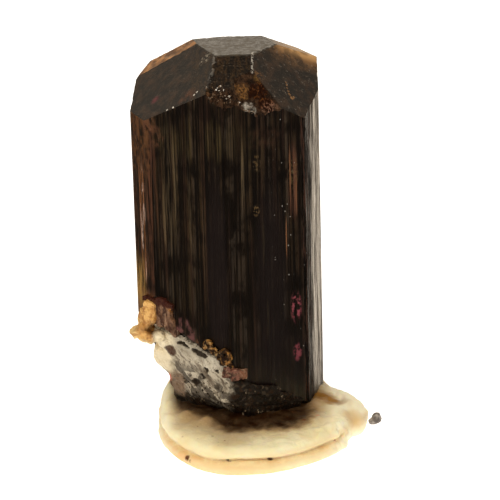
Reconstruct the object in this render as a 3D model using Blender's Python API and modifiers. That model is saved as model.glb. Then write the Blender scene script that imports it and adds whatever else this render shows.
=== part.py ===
# A dark tourmaline crystal with its broken matrix, standing on a pad of soft putty.
# Metres, +Z up. The front faces -Y, and the origin is on the putty's underside, below
# the middle of the crystal.
import math
import random

import bmesh
import bpy
from mathutils import Matrix, Vector, noise

mm = 0.001

# Driving sizes.
top_height = 38.0 * mm  # the flat top face above the surface that the putty stands on
base_height = 3.0 * mm  # the broken underside of the crystal and its matrix
putty_height = 2.7 * mm
fold_height = 1.45 * mm  # where the putty's two folds meet
fold_bite = 0.1 * mm  # how far each fold sinks into the other
gap = 0.3 * mm  # between pieces that touch

# Prism faces, in order round the crystal: the way each faces, in degrees from the front
# (-Y) towards +X, its distance from the axis, and how many ridges run down it.
prism_faces = {
    "front_left": (-41.3, 7.91 * mm, 10),
    "front_right": (27.5, 9.47 * mm, 9),
    "right_strip": (74.1, 9.23 * mm, 7),
    "right_back": (89.6, 9.26 * mm, 5),
    "back_right": (130.0, 9.20 * mm, 8),
    "back": (171.0, 9.30 * mm, 9),
    "left_back": (-132.0, 9.90 * mm, 7),
    "left_side": (-95.9, 9.26 * mm, 4),
    "left_strip": (-69.4, 8.60 * mm, 5),
}
ridge_depth = 0.11 * mm
ridge_wander = 0.28  # of a step

# Faces of the tip: the way each faces, its slope, and its height where it crosses the axis.
tip_faces = {
    "left": (-70.2, 44.1, 39.95 * mm),
    "front": (2.9, 25.8, 39.92 * mm),
    "right": (59.9, 45.7, 42.52 * mm),
    "right_back": (109.7, 23.5, 40.13 * mm),
    "back": (179.0, 46.0, 42.05 * mm),
    "left_back": (-164.4, 32.9, 40.42 * mm),
    "left_sliver": (-78.3, 39.3, 39.85 * mm),
}

# Scoops that make the broken hollow in the front of the tip: middle and size.
pit_scoops = {
    "pit_deep": (Vector((3.9, -8.0, 35.6)) * mm, Vector((3.2, 4.2, 5.4)) * mm),
    "pit_middle": (Vector((2.1, -9.2, 35.3)) * mm, Vector((4.8, 4.2, 4.2)) * mm),
    "pit_left": (Vector((-0.2, -10.3, 35.9)) * mm, Vector((3.8, 3.4, 2.4)) * mm),
}

# The break that takes away the lower front left: its height on the axis, and how much it
# drops for each millimetre to the right and to the back.
break_height = 3.1 * mm
break_drop_right = 0.86
break_drop_back = 0.60

# The left flank below the break: its distance from the axis at the base, and its lean.
flank_distance = 5.6 * mm
flank_lean = 26.0

matrix_inset = 0.55 * mm  # of the matrix's front from the crystal's
matrix_lumps = 0.16 * mm
matrix_block = 24.0 * mm  # the cube that the matrix is cut from
matrix_grain = 0.9 * mm  # longest edge on its surface

knob_middle = Vector((-8.3, -2.4, 10.7)) * mm
knob_size = Vector((2.9, 4.0, 4.2)) * mm
knob_side = -7.55 * mm  # the knob lies to the left of this

mica_middle = Vector((-6.35, -4.95, 11.9)) * mm
mica_size = Vector((1.5, 1.5, 2.9)) * mm
mica_shear = 0.3  # of the plate, so that it follows the break
tab_middle = Vector((1.25, -10.65, 7.65)) * mm
tab_size = Vector((1.7, 0.45, 1.2)) * mm
tab_lean = 20.0

# Rusty bubbles along the break: middle and width.
bubbles = {
    "rust_crust": (Vector((-2.30, -8.85, 10.5)) * mm, 1.30 * mm),
    "bridge_left": (Vector((-1.65, -9.45, 10.2)) * mm, 1.15 * mm),
    "bridge_right": (Vector((-0.95, -10.1, 9.9)) * mm, 1.15 * mm),
    "bubble_right": (Vector((-0.35, -10.7, 9.75)) * mm, 1.40 * mm),
}

# The pad as seen from above: the corners of a cage that is then smoothed.
pad_corners = (
    Vector((-7.6, -5.4)) * mm,
    Vector((-7.7, 2.9)) * mm,
    Vector((-4.2, 7.8)) * mm,
    Vector((2.8, 8.1)) * mm,
    Vector((7.4, 5.8)) * mm,
    Vector((10.8, -0.5)) * mm,
    Vector((12.4, -8.4)) * mm,
    Vector((11.7, -12.6)) * mm,
    Vector((5.8, -17.8)) * mm,
    Vector((0.0, -18.7)) * mm,
    Vector((-3.7, -17.2)) * mm,
    Vector((-7.5, -10.5)) * mm,
)
upper_scale = 0.955  # of the upper fold beside the lower one
rim_scale = 0.96  # of the pad at its top and bottom beside its middle
flat_scale = 0.80  # of the flat part of its top and bottom

roll_radius = 1.5 * mm
roll_route = (
    Vector((8.6, 1.6, 1.0)) * mm,
    Vector((10.7, -2.2, 1.4)) * mm,
    Vector((12.3, -6.2, 1.4)) * mm,
    Vector((12.3, -9.6, 1.3)) * mm,
    Vector((11.4, -12.2, 1.0)) * mm,
)

grit_middle = Vector((14.35, -8.7, 2.1)) * mm
grit_size = Vector((1.1, 1.1, 1.4)) * mm


def facing(angle, slope=90.0):
    """The outward normal of a face; a slope of 90 degrees is upright."""
    turn = math.radians(angle)
    tilt = math.radians(slope)
    level = Vector((math.sin(turn), -math.cos(turn), 0.0))
    return level * math.sin(tilt) + Vector((0, 0, math.cos(tilt)))


def prism_plane(name, outwards=0.0):
    """A prism face as point and normal, moved outwards by a distance."""
    angle, distance, _ = prism_faces[name]
    normal = facing(angle)
    return normal * (distance + outwards), normal


def break_plane(downwards=0.0):
    """The break, with its normal towards what is broken away."""
    normal = -Vector((break_drop_right, break_drop_back, 1.0)).normalized()
    return Vector((0, 0, break_height)) + normal * downwards, normal


def flank_plane():
    lean = math.radians(flank_lean)
    normal = Vector((-math.cos(lean), 0, -math.sin(lean)))
    return Vector((-flank_distance, 0, base_height)), normal


def cut(bm, face):
    """Takes off what lies beyond a plane, and closes the cut."""
    point, normal = face
    geometry = bm.verts[:] + bm.edges[:] + bm.faces[:]
    result = bmesh.ops.bisect_plane(
        bm, geom=geometry, dist=1e-7, plane_co=point, plane_no=normal, clear_outer=True
    )
    rim = [item for item in result["geom_cut"] if isinstance(item, bmesh.types.BMEdge)]
    if rim:
        bmesh.ops.holes_fill(bm, edges=rim, sides=0)
    bmesh.ops.remove_doubles(bm, verts=bm.verts[:], dist=2e-6)


def material(name, colour, roughness):
    made = bpy.data.materials.new(name)
    made.use_nodes = True
    shader = made.node_tree.nodes["Principled BSDF"]
    shader.inputs["Base Color"].default_value = (*colour, 1.0)
    shader.inputs["Roughness"].default_value = roughness
    shader.inputs["Metallic"].default_value = 0.0
    return made


def finish(bm, name, collection, surface=None, smooth=False):
    """Turns a bmesh into an object with outward normals."""
    bmesh.ops.recalc_face_normals(bm, faces=bm.faces[:])
    mesh = bpy.data.meshes.new(name)
    bm.to_mesh(mesh)
    bm.free()
    for polygon in mesh.polygons:
        polygon.use_smooth = smooth
    if surface is not None:
        mesh.materials.append(surface)
    made = bpy.data.objects.new(name, mesh)
    collection.objects.link(made)
    return made


def boolean(target, tool, operation):
    tool.hide_render = True
    tool.display_type = "WIRE"
    modifier = target.modifiers.new(tool.name, "BOOLEAN")
    modifier.object = tool
    modifier.operation = operation
    modifier.solver = "EXACT"


def lump(middle, size, detail, roughness, seed):
    """A ball of the given size with a roughened surface."""
    bm = bmesh.new()
    bmesh.ops.create_icosphere(bm, subdivisions=detail, radius=0.5)
    offset = Vector((3.1, 1.7, 2.3)) * seed
    for vertex in bm.verts:
        spot = vertex.co * 2
        waves = noise.noise(spot * 2.1 + offset) + 0.5 * noise.noise(spot * 5.3 + offset)
        vertex.co = middle + vertex.co * size * (1.0 + roughness * waves)
    return bm


def block(middle, size, angle, bevel=0.0, lean=0.0, shear=0.0):
    """A box that faces the given way; bevel is a share of its sides."""
    bm = bmesh.new()
    bmesh.ops.create_cube(bm, size=1.0)
    if bevel:
        bmesh.ops.bevel(bm, geom=bm.edges[:], offset=bevel, segments=1, affect="EDGES")
    turn = Matrix.Rotation(math.radians(angle), 3, "Z") @ Matrix.Rotation(math.radians(lean), 3, "Y")
    for vertex in bm.verts:
        spot = vertex.co * size
        spot.x += shear * spot.z
        vertex.co = middle + turn @ spot
    return bm


def prism_outline():
    """The prism's cross-section, with shallow ridges along each face."""
    rng = random.Random(11)
    names = list(prism_faces)
    corners = []
    for name, following in zip(names, names[1:] + names[:1]):
        point_a, normal_a = prism_plane(name)
        point_b, normal_b = prism_plane(following)
        across = Matrix((normal_a.to_2d(), normal_b.to_2d())).inverted()
        corners.append(across @ Vector((point_a.dot(normal_a), point_b.dot(normal_b))))
    outline = []
    for i, (angle, _, ridges) in enumerate(prism_faces.values()):
        outline.append(corners[i - 1])
        steps = 2 * ridges
        for step in range(1, steps):
            along = (step + rng.uniform(-ridge_wander, ridge_wander)) / steps
            depth = rng.uniform(0.5, 1.0) if step % 2 else rng.uniform(0.0, 0.2)
            inwards = facing(angle).to_2d() * ridge_depth * depth
            outline.append(corners[i - 1].lerp(corners[i], along) - inwards)
    return outline


def build_crystal(parts, cutters, notch):
    """The striated prism, cut to its tip faces and its broken lower end."""
    bm = bmesh.new()
    underside = bm.faces.new([bm.verts.new((p.x, p.y, base_height)) for p in prism_outline()])
    raised = bmesh.ops.extrude_face_region(bm, geom=[underside])["geom"]
    top = [item for item in raised if isinstance(item, bmesh.types.BMVert)]
    bmesh.ops.translate(bm, verts=top, vec=(0, 0, top_height - base_height))
    for angle, slope, height in tip_faces.values():
        cut(bm, (Vector((0, 0, height)), facing(angle, slope)))
    cut(bm, break_plane())
    cut(bm, flank_plane())
    surface = material("tourmaline", (0.022, 0.014, 0.011), 0.18)
    crystal = finish(bm, "tourmaline_crystal", parts, surface)
    for seed, (name, (middle, size)) in enumerate(pit_scoops.items()):
        scoop = lump(middle, size, 2, 0.16, seed)
        boolean(crystal, finish(scoop, name, cutters), "DIFFERENCE")
    boolean(crystal, notch, "DIFFERENCE")


def build_mica(parts):
    """The plate in its notch, and a small tab further down the break."""
    surface = material("lepidolite", (0.42, 0.22, 0.20), 0.45)
    angle = prism_faces["front_left"][0]
    plate = block(mica_middle, mica_size, angle, bevel=0.12, shear=mica_shear)
    finish(plate, "lepidolite_patch", parts, surface)
    angle = prism_faces["front_right"][0]
    tab = block(tab_middle, tab_size, angle, bevel=0.14, lean=tab_lean)
    finish(tab, "lepidolite_tab", parts, surface)


def build_matrix(parts, notch):
    """The albite below the break: rough outside, flat where it meets its neighbours."""
    rough = (
        prism_plane("front_left", -matrix_inset),
        prism_plane("front_right", -matrix_inset),
        flank_plane(),
    )
    under_break, up = break_plane(gap)
    mating = (
        (under_break, -up),
        (Vector((knob_side + gap, 0, 0)), Vector((-1, 0, 0))),
        (Vector((0, 0, base_height)), Vector((0, 0, -1))),
    )
    bm = bmesh.new()
    bmesh.ops.create_cube(bm, size=matrix_block)
    for face in rough + mating:
        cut(bm, face)
    for _ in range(6):
        long_edges = [edge for edge in bm.edges if edge.calc_length() > matrix_grain]
        bmesh.ops.subdivide_edges(bm, edges=long_edges, cuts=1)
        bmesh.ops.triangulate(bm, faces=bm.faces[:])
    for point, normal in rough:
        for vertex in bm.verts:
            if abs((vertex.co - point).dot(normal)) < 2 * matrix_lumps:
                spot = vertex.co / mm
                blade = Vector((0.5 * spot.x, 0.5 * spot.y, 1.9 * spot.z + 0.95 * spot.x))
                waves = noise.noise(spot * 1.1) + 1.3 * noise.noise(blade)
                vertex.co += normal * matrix_lumps * waves
    for face in mating:
        cut(bm, face)
    stone = finish(bm, "albite_matrix", parts, material("albite", (0.56, 0.50, 0.40), 0.55))
    boolean(stone, notch, "DIFFERENCE")


def build_knob(parts):
    """The stained lump that stands out on the left, clear of crystal and matrix."""
    bm = lump(knob_middle, knob_size, 3, 0.22, 7)
    cut(bm, (Vector((knob_side, 0, 0)), Vector((1, 0, 0))))
    under_break, up = break_plane(gap)
    cut(bm, (under_break, -up))
    surface = material("stained_feldspar", (0.72, 0.48, 0.22), 0.6)
    finish(bm, "stained_knob", parts, surface, smooth=True)


def build_crust(parts, cutters):
    """The bubbles, fused in one crust that lies along the crystal's front left face."""
    crust = None
    for seed, (name, (middle, width)) in enumerate(bubbles.items()):
        bm = lump(middle, Vector((width, width, width)), 2, 0.12, seed)
        if crust is None:
            surface = material("rust", (0.36, 0.19, 0.05), 0.3)
            crust = finish(bm, name, parts, surface, smooth=True)
        else:
            boolean(crust, finish(bm, name, cutters), "UNION")
    seat, outwards = prism_plane("front_left", gap)
    size = Vector((12.0, 4.0, 12.0)) * mm
    beside = bubbles["bridge_left"][0]
    middle = beside - outwards * ((beside - seat).dot(outwards) + size.y / 2)
    behind = block(middle, size, prism_faces["front_left"][0])
    boolean(crust, finish(behind, "crust_seat", cutters), "DIFFERENCE")


def fold(bottom, top, scale):
    """A coarse cage round one fold of the pad, flat above and below."""
    centre = sum(pad_corners, Vector((0, 0))) / len(pad_corners)
    rings = (
        (flat_scale, bottom),
        (rim_scale, bottom),
        (1.0, (bottom + top) / 2),
        (rim_scale, top),
        (flat_scale, top),
    )
    bm = bmesh.new()
    loops = []
    for share, height in rings:
        spots = [centre + (corner - centre) * share * scale for corner in pad_corners]
        loops.append([bm.verts.new((*spot, height)) for spot in spots])
    for lower, upper in zip(loops, loops[1:]):
        for i in range(len(pad_corners)):
            bm.faces.new((lower[i - 1], lower[i], upper[i], upper[i - 1]))
    bm.faces.new(loops[0])
    bm.faces.new(loops[-1])
    return bm


def soften(cage):
    smoothing = cage.modifiers.new("soften", "SUBSURF")
    smoothing.levels = 2
    smoothing.render_levels = 2


def build_roll(cutters):
    """The rolled edge at the right: a fat tapering tube laid along its route."""
    curve = bpy.data.curves.new("roll_route", "CURVE")
    curve.dimensions = "3D"
    curve.bevel_depth = roll_radius
    curve.bevel_resolution = 2
    curve.resolution_u = 3
    curve.use_fill_caps = True
    spline = curve.splines.new("NURBS")
    spline.points.add(len(roll_route) - 1)
    for point, spot in zip(spline.points, roll_route):
        point.co = (*spot, 1.0)
        point.radius = 0.95
    spline.points[0].radius = 0.45
    spline.points[-1].radius = 0.45
    spline.use_endpoint_u = True
    spline.order_u = 4
    tube = bpy.data.objects.new("roll_route", curve)
    cutters.objects.link(tube)
    graph = bpy.context.evaluated_depsgraph_get()
    mesh = bpy.data.meshes.new_from_object(tube.evaluated_get(graph))
    bpy.data.objects.remove(tube)
    bm = bmesh.new()
    bm.from_mesh(mesh)
    bmesh.ops.remove_doubles(bm, verts=bm.verts[:], dist=1e-6)
    cut(bm, (Vector((0, 0, 0)), Vector((0, 0, -1))))
    return finish(bm, "roll", cutters)


def build_putty(parts, cutters):
    """The pad: a lower fold, an upper fold and the roll, fused in one wad."""
    surface = material("putty", (0.80, 0.72, 0.52), 0.6)
    lower = fold(0.0, fold_height + fold_bite, 1.0)
    putty = finish(lower, "putty_mount", parts, surface, smooth=True)
    soften(putty)
    upper = finish(fold(fold_height - fold_bite, putty_height, upper_scale), "upper_fold", cutters)
    soften(upper)
    boolean(putty, upper, "UNION")
    boolean(putty, build_roll(cutters), "UNION")


def build_grit(parts):
    grit = lump(grit_middle, grit_size, 2, 0.2, 4)
    finish(grit, "grit_chip", parts, material("grit", (0.16, 0.16, 0.15), 0.7))


def main():
    for item in list(bpy.data.objects):
        bpy.data.objects.remove(item)
    parts = bpy.data.collections.new("tourmaline_specimen")
    cutters = bpy.data.collections.new("cutters")
    for collection in (parts, cutters):
        bpy.context.scene.collection.children.link(collection)
    room = Vector((1, 1, 1)) * 2 * gap
    notch_size = mica_size + room + Vector((mica_shear * mica_size.z, 0, 0))
    hollow = block(mica_middle, notch_size, prism_faces["front_left"][0])
    notch = finish(hollow, "notch", cutters)
    build_crystal(parts, cutters, notch)
    build_mica(parts)
    build_matrix(parts, notch)
    build_knob(parts)
    build_crust(parts, cutters)
    build_putty(parts, cutters)
    build_grit(parts)


main()
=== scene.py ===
import math
import random

import bmesh
import bpy
import numpy as np
from mathutils import Matrix, Vector, geometry, noise


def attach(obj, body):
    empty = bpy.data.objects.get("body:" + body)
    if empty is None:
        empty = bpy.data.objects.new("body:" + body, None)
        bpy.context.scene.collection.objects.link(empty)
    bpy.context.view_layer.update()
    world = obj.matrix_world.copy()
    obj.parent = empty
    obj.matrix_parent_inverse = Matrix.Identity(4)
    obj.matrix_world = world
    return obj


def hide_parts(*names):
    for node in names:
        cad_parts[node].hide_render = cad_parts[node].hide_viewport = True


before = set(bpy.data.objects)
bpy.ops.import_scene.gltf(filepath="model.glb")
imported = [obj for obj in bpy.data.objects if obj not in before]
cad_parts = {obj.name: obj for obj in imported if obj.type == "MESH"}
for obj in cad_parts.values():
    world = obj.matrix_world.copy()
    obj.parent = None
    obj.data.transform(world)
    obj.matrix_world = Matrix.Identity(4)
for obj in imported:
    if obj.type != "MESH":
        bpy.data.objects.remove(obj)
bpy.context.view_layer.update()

mm = 0.001
scene = bpy.context.scene


# ---- shader helpers

class Wire:  # a node's output that takes part in sums
    def __init__(self, paint, socket):
        self.paint = paint
        self.socket = socket

    def sum(self, operation, other=0.0, swap=False):
        values = [other, self] if swap else [self, other]
        return self.paint.node("Math", {"operation": operation}, values)

    def __add__(self, other): return self.sum("ADD", other)
    def __radd__(self, other): return self.sum("ADD", other)
    def __sub__(self, other): return self.sum("SUBTRACT", other)
    def __rsub__(self, other): return self.sum("SUBTRACT", other, True)
    def __mul__(self, other): return self.sum("MULTIPLY", other)
    def __truediv__(self, other): return self.sum("DIVIDE", other)
    def __pow__(self, other): return self.sum("POWER", other)
    def least(self, other): return self.sum("MINIMUM", other)
    def most(self, other): return self.sum("MAXIMUM", other)
    def size(self): return self.sum("ABSOLUTE")

    def step(self, low, high):  # 0 below low, 1 above high, smooth between
        settings = {"interpolation_type": "SMOOTHSTEP"}
        return self.paint.node("MapRange", settings, {"Value": self, "From Min": low, "From Max": high})


class Nodes:
    def __init__(self, tree):
        self.tree = tree

    def node(self, kind, settings, inputs, output=0):
        made = self.tree.nodes.new("ShaderNode" + kind)
        for key, value in settings.items():
            if key == "stops":
                self.fillRamp(made.color_ramp, value)
            else:
                setattr(made, key, value)
        pairs = inputs.items() if isinstance(inputs, dict) else enumerate(inputs)
        for key, value in pairs:
            if isinstance(value, Wire):
                self.tree.links.new(value.socket, made.inputs[key])
            else:
                made.inputs[key].default_value = value
        return Wire(self, made.outputs[output])

    def fillRamp(self, ramp, stops):
        while len(ramp.elements) < len(stops):
            ramp.elements.new(0.5)
        for element, (place, colour) in zip(ramp.elements, stops):
            element.position = place
            element.color = (*colour, 1.0)

    def mix(self, a, b, share, blend="MIX"):
        a, b = (value if isinstance(value, Wire) else (*value, 1.0) for value in (a, b))
        settings = {"data_type": "RGBA", "blend_type": blend}
        return self.node("Mix", settings, {0: share, 6: a, 7: b}, 2)

    def link(self, wire, node, socket):
        self.tree.links.new(wire.socket, node.inputs[socket])


class Paint(Nodes):  # a material under way
    def __init__(self, name, **uniform):
        self.material = bpy.data.materials.new(name)
        self.material.use_nodes = True
        super().__init__(self.material.node_tree)
        self.shader = self.tree.nodes["Principled BSDF"]
        for socket, value in uniform.items():
            self.shader.inputs[socket.replace("_", " ")].default_value = value
        place = self.node("TexCoord", {}, {}, "Object")
        self.spot = self.node("VectorMath", {"operation": "SCALE"}, {0: place, "Scale": 1000.0})  # mm
        self.x, self.y, self.z = (self.node("SeparateXYZ", {}, [self.spot], axis) for axis in "XYZ")

    def stretch(self, sx, sy, sz, spot=None):
        scale = {0: spot or self.spot, 1: (sx, sy, sz)}
        return self.node("VectorMath", {"operation": "MULTIPLY"}, scale)

    def noise(self, scale, detail=3.0, rough=0.55, spot=None, warp=0.0):
        values = {"Vector": spot or self.spot, "Scale": scale, "Detail": detail,
                  "Roughness": rough, "Distortion": warp}
        return self.node("TexNoise", {}, values, 0)

    def cells(self, scale, spot=None, output="Distance"):
        values = {"Vector": spot or self.spot, "Scale": scale, "Randomness": 1.0}
        return self.node("TexVoronoi", {"feature": "F1"}, values, output)

    def cellTone(self, scale, spot=None, channel=0):  # one random value from 0 to 1 in each cell
        return self.node("SeparateColor", {}, [self.cells(scale, spot, "Color")], channel)

    def window(self, value, low, high, soft):  # 1 between low and high
        return value.step(low - soft, low + soft) * (1 - value.step(high - soft, high + soft))

    def near(self, middle, inner, outer, spot=None):  # 1 within inner mm of a point, 0 beyond outer
        gap = self.node("VectorMath", {"operation": "DISTANCE"}, [spot or self.spot, middle], 1)
        return 1 - gap.step(inner, outer)

    def shaken(self, scale, reach):  # the place, moved about by up to reach mm
        cloud = self.node("TexNoise", {}, {"Vector": self.spot, "Scale": scale, "Detail": 3.0}, 1)
        way = self.node("VectorMath", {"operation": "SUBTRACT"}, [cloud, (0.5, 0.5, 0.5)])
        way = self.node("VectorMath", {"operation": "SCALE"}, {0: way, "Scale": reach * 4})
        return self.node("VectorMath", {"operation": "ADD"}, [self.spot, way])

    def bump(self, height, depth, under=None):  # depth in mm
        values = {"Height": height, "Distance": depth * mm, "Strength": 1.0}
        if under is not None:
            values["Normal"] = under
        return self.node("Bump", {}, values)

    def ground(self, dark, pale, share):  # the colour that the others are laid on
        self.colour = self.mix(dark, pale, share)

    def lay(self, tone, share):  # a tone over the colour so far
        self.colour = self.mix(self.colour, tone, share)

    def apply(self, **links):
        self.link(self.colour, self.shader, "Base Color")
        for socket, wire in links.items():
            self.link(wire, self.shader, socket.replace("_", " "))
        return self.material


# ---- mesh helpers

def meshPiece(name, vertices, faces, materials, smooth=False, slots=None):
    mesh = bpy.data.meshes.new(name)
    mesh.from_pydata([tuple(v) for v in vertices], [], faces)
    for material in materials:
        mesh.materials.append(material)
    if slots is not None:
        mesh.polygons.foreach_set("material_index", slots)
    mesh.polygons.foreach_set("use_smooth", [smooth] * len(mesh.polygons))
    mesh.update()
    piece = bpy.data.objects.new(name, mesh)
    scene.collection.objects.link(piece)
    return piece


def fromBody(name, body):
    mesh = bpy.data.meshes.new(name)
    body.to_mesh(mesh)
    body.free()
    piece = bpy.data.objects.new(name, mesh)
    scene.collection.objects.link(piece)
    return piece


def keepShape(piece, name):  # the modifiers' result becomes the piece's own mesh
    made = piece.evaluated_get(bpy.context.evaluated_depsgraph_get())
    done = bpy.data.meshes.new_from_object(made)
    piece.modifiers.clear()
    piece.data = done
    done.name = name


def settle(piece, slot, *nodes):
    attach(piece, "root")
    if nodes:
        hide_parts(*nodes)


# ---- the crystal

crystal = {
    "topHeight": 38.0,  # all in mm
    "baseHeight": 3.0,
    "columnWidth": 0.1,  # between the vertical lines of its sides
    "rows": 60,
    "tipGrid": 0.26,
    "pitGrid": 0.085,
    "baseGrid": 0.42,
    "edgeStep": 0.14,  # between points along the tip's edges
    "shortestEdge": 0.3,
    "pitWindow": (-1.9, 5.9, -10.7, -5.6),  # least and most x and y of the fine grid
    "striaSeed": 5,
    "gridSeed": 3,
    "striaDepth": 0.085,
    "edgeChips": 0.05,
    "grooveAt": 6.75,  # along the front left face
    "grooveDepth": 0.20,
    "grooveWidth": 0.13,
    "faces": {  # the way each faces, distance from the axis, spacing of its striae
        "frontLeft": (-41.3, 7.91, 0.42),
        "frontRight": (27.5, 9.47, 0.46),
        "rightStrip": (74.1, 9.23, 0.30),
        "rightBack": (89.6, 9.26, 0.40),
        "backRight": (130.0, 9.20, 0.45),
        "back": (171.0, 9.30, 0.60),
        "leftBack": (-132.0, 9.90, 0.45),
        "leftSide": (-95.9, 9.26, 0.45),
        "leftStrip": (-69.4, 8.60, 0.36),
    },
    "tips": {  # the way each faces, slope, height on the axis
        "left": (-70.2, 44.1, 39.95),
        "front": (2.9, 25.8, 39.92),
        "right": (59.9, 45.7, 42.52),
        "rightBack": (109.7, 23.5, 40.13),
        "back": (179.0, 46.0, 42.05),
        "leftBack": (-164.4, 32.9, 40.42),
        "leftSliver": (-78.3, 39.3, 39.85),
    },
    "thinTips": ("leftSliver", "leftBack"),  # light comes through these
    # lower edge of the dark crystal along its front, left to right: x and height
    "brokenEdge": ((-9.4, 10.8), (-8.3, 13.0), (-7.4, 13.7), (-6.1, 13.7), (-5.5, 13.3), (-5.35, 10.8),
                   (-3.95, 10.2), (-2.7, 9.6), (-0.5, 8.9), (0.1, 8.5), (0.9, 7.6), (1.6, 6.7),
                   (3.8, 5.2), (5.7, 4.0), (6.7, 3.3), (7.6, 3.0)),
    "flankLean": 2.05,  # rise of the left flank for each mm outwards
    "flankFoot": -5.6,
}


def wayOut(angle):
    turn = math.radians(angle)
    return np.array((math.sin(turn), -math.cos(turn)))


def tipPlanes():  # z = a + b x + c y
    planes = [(crystal["topHeight"], 0.0, 0.0)]
    for angle, slope, height in crystal["tips"].values():
        fall = math.tan(math.radians(slope))
        out = wayOut(angle)
        planes.append((height, -fall * out[0], -fall * out[1]))
    return planes


def prismCorners():
    walls = [(wayOut(angle), distance) for angle, distance, _ in crystal["faces"].values()]
    corners = []
    for (outA, farA), (outB, farB) in zip(walls, walls[1:] + walls[:1]):
        corners.append(np.linalg.solve(np.array((outA, outB)), np.array((farA, farB))))
    return corners, walls


def alongFront(x, y):  # mm along the front left face, from left to right
    return x * 0.751 - y * 0.660


def frontLine(x):  # y of the front faces at x
    return np.where(x < 0.11, -10.6 + (0.11 - x) * 0.878, -10.6 + (x - 0.11) * 0.52)


def pitBowl(x, y, ideal):
    # the hollow broken out of the tip: the highest of its broken facets, where they lie below the tip
    along = 0.796 * (x - 2.9) - 0.605 * (y + 6.0)
    across = 0.605 * (x - 2.9) + 0.796 * (y + 6.0)
    rightWall = 36.9 - 1.178 * along + 3.0 * across
    goldSlope = 36.9 - 0.457 * (x - 2.9) + 1.18 * (y + 6.0)
    floor = 33.3 + 0.05 * (x - 4.1) + 0.22 * (y + 7.9)
    ledge = 33.8 - 0.5 * (x - 2.3) + 0.1 * (y + 9.2)
    step = 35.0 - 1.6 * (x - 1.5) + 0.5 * (y + 8.6)
    deep = np.maximum.reduce([rightWall, goldSlope, floor, ledge, step])
    shallow = ideal - 0.36 + np.maximum.reduce([
        2.5 * (y + 8.7), 1.8 * (x - 1.9), -2.0 * (x + 1.45), np.zeros_like(x)])
    return np.minimum(deep, shallow)


def tipHeight(x, y):
    ideal = np.minimum.reduce([a + b * x + c * y for a, b, c in tipPlanes()])
    broken = pitBowl(x, y, ideal)
    depth = ideal - broken
    crumb = np.array([noise.cell(Vector((px * 3.1, py * 3.1, 0.3))) - 0.5
                      + 0.6 * noise.noise(Vector((px * 2.2, py * 2.2, 5.0)))
                      for px, py in zip(x, y)])
    rough = np.clip(depth / 0.15, 0, 1) * 0.17 * crumb
    return np.where(depth > 0, broken + rough, ideal), depth


def baseHeightAt(x, y):
    edge = crystal["brokenEdge"]
    front = np.interp(x, [p[0] for p in edge], [p[1] for p in edge])
    dip = np.where(x < -5.4, 2.0, 0.62)
    broken = front - dip * np.maximum(0, y - frontLine(x))
    flank = crystal["baseHeight"] + (crystal["flankFoot"] - x) * crystal["flankLean"]
    rough = np.array([0.28 * noise.noise(Vector((px * 0.9, py * 0.9, 2.0)))
                      + 0.12 * noise.noise(Vector((px * 3.0, py * 3.0, 7.0))) for px, py in zip(x, y)])
    return np.maximum.reduce([broken, flank, np.full_like(x, crystal["baseHeight"])]) + rough + 0.12


def striaProfile(length, spacing, rng):
    # a jagged run of shallow terraces: places along the face and their depths
    places = [0.0]
    while places[-1] < length:
        places.append(places[-1] + spacing * rng.choice((0.35, 0.5, 0.8, 1.2, 2.0)))
    depths = [rng.uniform(0, 1) ** 1.6 for _ in places]
    for i in range(1, len(places), 3):
        depths[i] *= 0.15
    return places, depths


prismSlot, tipSlot, pitSlot, baseSlot, thinSlot = range(5)  # in the order of the crystal's materials


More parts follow.
